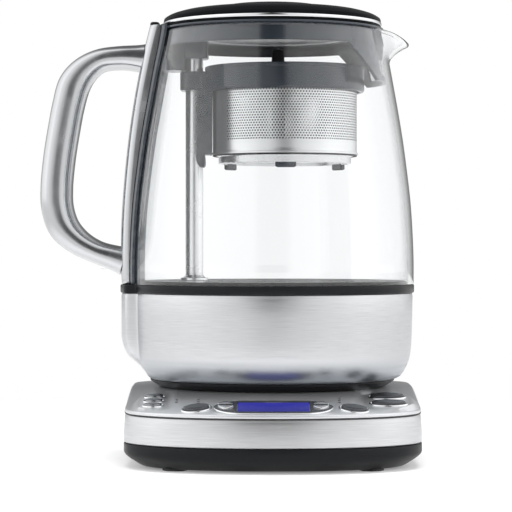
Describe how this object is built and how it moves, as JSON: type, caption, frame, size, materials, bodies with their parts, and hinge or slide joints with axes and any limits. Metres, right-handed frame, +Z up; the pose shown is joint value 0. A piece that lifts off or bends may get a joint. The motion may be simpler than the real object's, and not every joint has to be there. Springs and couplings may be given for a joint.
{
  "type": "automatic tea maker",
  "caption": "Glass kettle on a power base with a sloped control panel; a motor lowers the tea basket along a post inside the jug.",
  "frame": {"origin": "on the table, under the middle of the whole object's footprint", "axes": "+Z up; +X from the handle to the spout; -Y towards the user, who faces the control panel"},
  "size_m": [0.2214, 0.1906, 0.2674],
  "materials": {
    "black_plastic": "moulded black, fine satin grain",
    "brushed_steel": "stainless sheet brushed round the body",
    "plain_steel": "plain bright stainless",
    "chrome": "polished chrome plate",
    "silver_deck": "silver lacquer, satin",
    "grey_plastic": "dark blue-grey moulding, satin",
    "oval_plastic": "dark grey gloss",
    "display": "lit blue display under a clear face",
    "jug_glass": "clear heat-resistant glass",
    "rubber": "soft matt",
    "brass": "plated contact",
    "circuit": "green laminate",
    "magnet": "sintered magnet"
  },
  "bodies": {
    "power_base": {"base_tray": "black_plastic", "steel_band": "brushed_steel", "control_deck": "silver_deck", "display_bezel": "oval_plastic", "display_window": "display", "control_board": "circuit", "power_socket": "black_plastic", "socket_contact": "brass", "cord_gland": "black_plastic", "base_foot_1": "rubber", "base_foot_2": "rubber", "base_foot_3": "rubber", "base_foot_4": "rubber", "base_screw_1": "plain_steel", "base_screw_2": "plain_steel", "base_screw_3": "plain_steel", "base_screw_4": "plain_steel"},
    "jug": {"jug_foot": "black_plastic", "jug_plug": "black_plastic", "steel_shell": "brushed_steel", "jug_band": "black_plastic", "glass_jug": "jug_glass", "jug_floor": "plain_steel", "floor_seal": "rubber", "heating_element": "plain_steel", "lift_motor": "plain_steel", "lift_post": "plain_steel", "handle_lining": "grey_plastic", "handle_spine": "chrome", "handle_grip": "chrome", "handle_screw_1": "plain_steel", "handle_screw_2": "plain_steel", "mouth_collar": "grey_plastic", "spout_filter": "plain_steel"},
    "lid": {"lid_cover": "grey_plastic", "lid_trim_ring": "chrome", "lid_knob": "black_plastic", "lid_liner": "grey_plastic", "lid_seal": "rubber"},
    "infuser": {"basket_carrier": "grey_plastic", "carrier_magnet": "magnet", "basket_rim": "grey_plastic", "basket_drum": "plain_steel"},
    "basket_lid": {"basket_lid": "black_plastic"},
    "basket_base": {"basket_base": "plain_steel"},
    "screw_rod": {"screw_rod": "plain_steel"},
    "magnet_nut": {"magnet_nut": "magnet"},
    "basket_button": {"basket_button": "chrome"},
    "auto_start_button": {"auto_start_button": "chrome"},
    "keep_warm_button": {"keep_warm_button": "chrome"},
    "tea_type_button": {"tea_type_button": "oval_plastic"},
    "strength_button": {"strength_button": "oval_plastic"},
    "tea_start_button": {"tea_start_button": "oval_plastic"},
    "water_start_button": {"water_start_button": "oval_plastic"},
    "temperature_up_button": {"temperature_up_button": "chrome"},
    "temperature_down_button": {"temperature_down_button": "chrome"},
    "time_up_button": {"time_up_button": "chrome"},
    "time_down_button": {"time_down_button": "chrome"}
  },
  "joints": [
    {"name": "jug_lift", "type": "slide", "parent": "power_base", "child": "jug", "axis": [0, 0, 1], "range_m": [0, 0.12]},
    {"name": "lid_lift", "type": "slide", "parent": "jug", "child": "lid", "axis": [0, 0, 1], "range_m": [0, 0.1]},
    {"name": "basket_travel", "type": "slide", "parent": "jug", "child": "infuser", "axis": [0, 0, 1], "range_m": [-0.062, 0]},
    {"name": "nut_travel", "type": "slide", "parent": "jug", "child": "magnet_nut", "axis": [0, 0, 1], "range_m": [-0.063, 0.001]},
    {"name": "screw_spin", "type": "hinge", "parent": "jug", "child": "screw_rod", "pos_m": [-0.02034, 0.00475, 0.17], "axis": [0, 0, 1], "range_deg": [-1800, 10]},
    {"name": "basket_lid_lift", "type": "slide", "parent": "infuser", "child": "basket_lid", "axis": [0, 0, 1], "range_m": [0, 0.045]},
    {"name": "base_twist", "type": "hinge", "parent": "infuser", "child": "basket_base", "pos_m": [0.03306, 0.00475, 0.178], "axis": [0, 0, 1], "range_deg": [0, 25]},
    {"name": "basket_press", "type": "slide", "parent": "power_base", "child": "basket_button", "axis": [0.252, 0.121, -0.9601], "range_m": [0, 0.001], "stiffness_N_per_m": 400},
    {"name": "auto_start_press", "type": "slide", "parent": "power_base", "child": "auto_start_button", "axis": [0.2259, 0.1359, -0.9646], "range_m": [0, 0.001], "stiffness_N_per_m": 400},
    {"name": "keep_warm_press", "type": "slide", "parent": "power_base", "child": "keep_warm_button", "axis": [0.1939, 0.1619, -0.9676], "range_m": [0, 0.001], "stiffness_N_per_m": 400},
    {"name": "tea_type_press", "type": "slide", "parent": "power_base", "child": "tea_type_button", "axis": [0.096, 0.2431, -0.9652], "range_m": [0, 0.001], "stiffness_N_per_m": 400},
    {"name": "strength_press", "type": "slide", "parent": "power_base", "child": "strength_button", "axis": [-0.101, 0.2399, -0.9655], "range_m": [0, 0.001], "stiffness_N_per_m": 400},
    {"name": "tea_start_press", "type": "slide", "parent": "power_base", "child": "tea_start_button", "axis": [-0.24, 0.131, -0.9619], "range_m": [0, 0.001], "stiffness_N_per_m": 400},
    {"name": "water_start_press", "type": "slide", "parent": "power_base", "child": "water_start_button", "axis": [-0.1941, 0.1621, -0.9675], "range_m": [0, 0.001], "stiffness_N_per_m": 400},
    {"name": "temperature_up_press", "type": "slide", "parent": "power_base", "child": "temperature_up_button", "axis": [0, 0.287, -0.9579], "range_m": [0, 0.001], "stiffness_N_per_m": 400},
    {"name": "temperature_down_press", "type": "slide", "parent": "power_base", "child": "temperature_down_button", "axis": [0, 0.287, -0.9579], "range_m": [0, 0.001], "stiffness_N_per_m": 400},
    {"name": "time_up_press", "type": "slide", "parent": "power_base", "child": "time_up_button", "axis": [0, 0.287, -0.9579], "range_m": [0, 0.001], "stiffness_N_per_m": 400},
    {"name": "time_down_press", "type": "slide", "parent": "power_base", "child": "time_down_button", "axis": [0, 0.287, -0.9579], "range_m": [0, 0.001], "stiffness_N_per_m": 400}
  ],
  "couplings": [
    {"joint": "nut_travel", "follows": "basket_travel", "ratio": 1},
    {"joint": "screw_spin", "follows": "basket_travel", "rad_per_m": 494.7},
    {"joint": "basket_lid_lift", "follows": "lid_lift", "ratio": 0.4}
  ]
}
